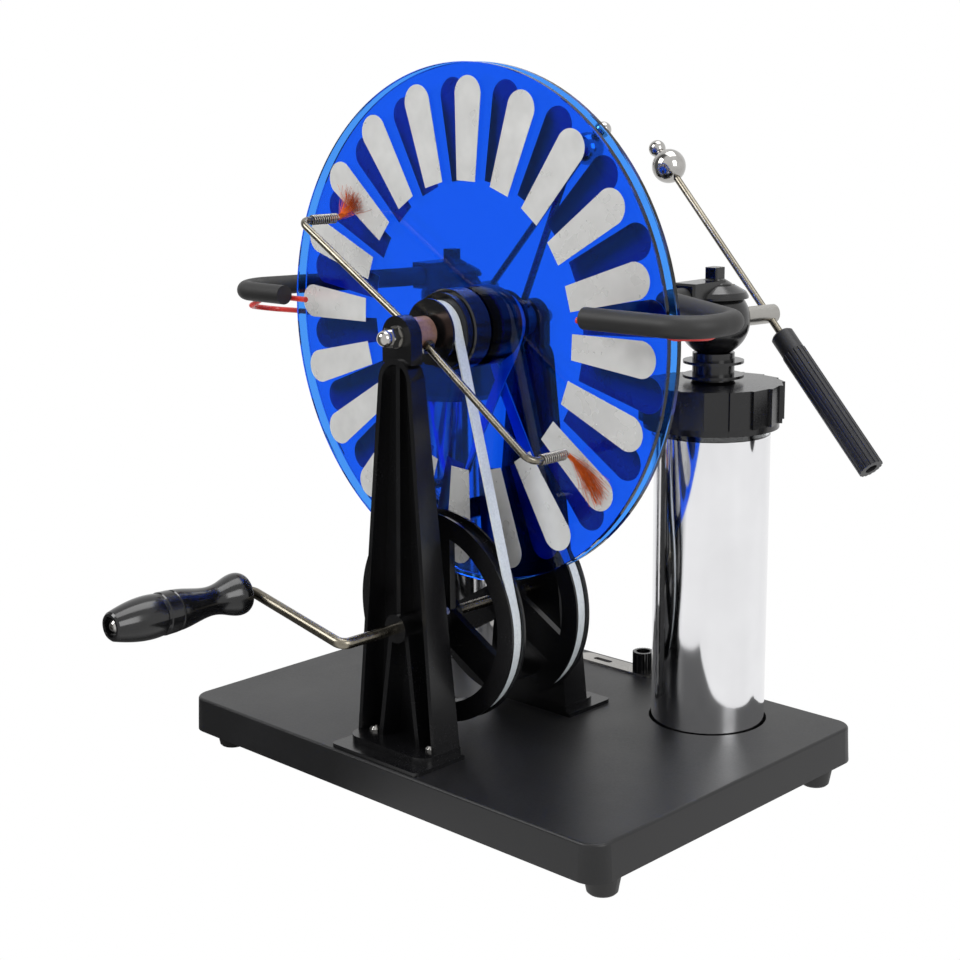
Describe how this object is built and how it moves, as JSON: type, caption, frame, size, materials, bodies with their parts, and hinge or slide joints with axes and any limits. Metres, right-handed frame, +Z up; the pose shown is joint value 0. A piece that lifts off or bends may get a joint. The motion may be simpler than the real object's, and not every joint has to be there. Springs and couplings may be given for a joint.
{
  "type": "wimshurst machine",
  "caption": "Hand-cranked influence machine with counter-turning foil-sectored discs, neutralizer rods, two storage jars and spark electrodes on a black base.",
  "frame": {"origin": "centre of the base tray's underside", "axes": "+X along the base's long side towards the right jar, +Y from the crank side to the back, +Z up"},
  "size_m": [0.3731, 0.3551, 0.4013],
  "materials": {
    "tray_plastic": "moulded, soft gloss",
    "black_plastic": "moulded, satin",
    "head_plastic": "moulded, glossy",
    "handle_plastic": "turned, semi-gloss",
    "foot_rubber": "matt",
    "fork_rubber": "matt tube",
    "disc_acrylic": "clear, tinted blue",
    "foil": "foil, slightly crinkled",
    "jar_clear": "clear",
    "jar_foil": "mirror foil",
    "steel": "brushed",
    "chrome": "polished",
    "brass": "polished, coppery",
    "spring_wire": "drawn wire",
    "tinsel": "fine bright strands",
    "red_insulation": "soft insulation",
    "belt": "pale, translucent"
  },
  "bodies": {
    "machine": {"base_tray": "tray_plastic", "rubber_feet": "foot_rubber", "axle": "steel", "axle_nuts": "chrome", "axle_washers": "steel", "axle_spacers": "steel", "front_belt": "belt", "rear_belt": "belt", "link_stud": "steel", "front_upright": "black_plastic", "front_upright_screws": "chrome", "rear_upright": "black_plastic", "rear_upright_screws": "chrome", "left_jar_cup": "jar_clear", "left_jar_foil": "jar_foil", "left_jar_cap": "black_plastic", "left_neck": "black_plastic", "left_head": "head_plastic", "left_fork": "fork_rubber", "left_collector_wire": "red_insulation", "right_jar_cup": "jar_clear", "right_jar_foil": "jar_foil", "right_jar_cap": "black_plastic", "right_neck": "black_plastic", "right_head": "head_plastic", "right_fork": "fork_rubber", "right_collector_wire": "red_insulation"},
    "drive": {"drive_shaft": "steel", "front_pulley": "black_plastic", "rear_pulley": "black_plastic", "pulley_set_screws": "steel", "grip_screw": "chrome"},
    "grip": {"crank_grip": "handle_plastic"},
    "link_strip": {"link_strip": "steel"},
    "link_knob": {"link_knob": "handle_plastic"},
    "front_disc": {"front_disc": "disc_acrylic", "front_sectors": "foil", "front_hub": "black_plastic"},
    "front_neutralizer": {"front_neutralizer_collar": "brass", "front_neutralizer_rods": "chrome", "front_neutralizer_springs": "spring_wire", "front_brush_a": "tinsel", "front_brush_b": "tinsel"},
    "rear_disc": {"rear_disc": "disc_acrylic", "rear_sectors": "foil", "rear_hub": "black_plastic"},
    "rear_neutralizer": {"rear_neutralizer_collar": "brass", "rear_neutralizer_rods": "chrome", "rear_neutralizer_springs": "spring_wire", "rear_brush_a": "tinsel", "rear_brush_b": "tinsel"},
    "left_stub": {"left_electrode_stub": "steel"},
    "left_electrode": {"left_electrode_rod": "chrome", "left_electrode_balls": "chrome", "left_electrode_handle": "handle_plastic"},
    "right_stub": {"right_electrode_stub": "steel"},
    "right_electrode": {"right_electrode_rod": "chrome", "right_electrode_balls": "chrome", "right_electrode_handle": "handle_plastic"}
  },
  "joints": [
    {"name": "crank_turn", "type": "hinge", "parent": "machine", "child": "drive", "pos_m": [0, -0.0317, 0.0908], "axis": [0, 1, 0], "continuous": true},
    {"name": "grip_spin", "type": "hinge", "parent": "drive", "child": "grip", "pos_m": [-0.0754, -0.178, 0.106], "axis": [0, 1, 0], "continuous": true},
    {"name": "link_swing", "type": "hinge", "parent": "machine", "child": "link_strip", "pos_m": [0.0155, 0.101, 0.021], "axis": [0, 0, 1], "range_deg": [-20, 50]},
    {"name": "knob_turn", "type": "hinge", "parent": "machine", "child": "link_knob", "pos_m": [0.0155, 0.101, 0.028], "axis": [0, 0, 1], "continuous": true},
    {"name": "front_disc_spin", "type": "hinge", "parent": "machine", "child": "front_disc", "pos_m": [0, -0.0317, 0.2483], "axis": [0, 1, 0], "continuous": true},
    {"name": "rear_disc_spin", "type": "hinge", "parent": "machine", "child": "rear_disc", "pos_m": [0, -0.0317, 0.2483], "axis": [0, 1, 0], "continuous": true},
    {"name": "front_neutralizer_turn", "type": "hinge", "parent": "machine", "child": "front_neutralizer", "pos_m": [0, -0.0717, 0.2483], "axis": [0, 1, 0], "range_deg": [-20, 20]},
    {"name": "rear_neutralizer_turn", "type": "hinge", "parent": "machine", "child": "rear_neutralizer", "pos_m": [0, 0.0083, 0.2483], "axis": [0, 1, 0], "range_deg": [-2, 20]},
    {"name": "right_electrode_tilt", "type": "hinge", "parent": "machine", "child": "right_stub", "pos_m": [0.09612, 0.10898, 0.249], "axis": [0.1736, 0.9848, 0], "range_deg": [-20, 9]},
    {"name": "right_electrode_slide", "type": "slide", "parent": "right_stub", "child": "right_electrode", "axis": [-0.7144, 0.126, 0.6884], "range_m": [-0.04, 0.002]},
    {"name": "left_electrode_tilt", "type": "hinge", "parent": "machine", "child": "left_stub", "pos_m": [-0.11912, 0.10898, 0.249], "axis": [0.1736, -0.9848, 0], "range_deg": [-10, 3]},
    {"name": "left_electrode_slide", "type": "slide", "parent": "left_stub", "child": "left_electrode", "axis": [0.6264, 0.1105, 0.7716], "range_m": [-0.04, 0.002]}
  ],
  "couplings": [
    {"joint": "front_disc_spin", "follows": "crank_turn", "ratio": 3.6367},
    {"joint": "rear_disc_spin", "follows": "crank_turn", "ratio": -3.6367}
  ]
}
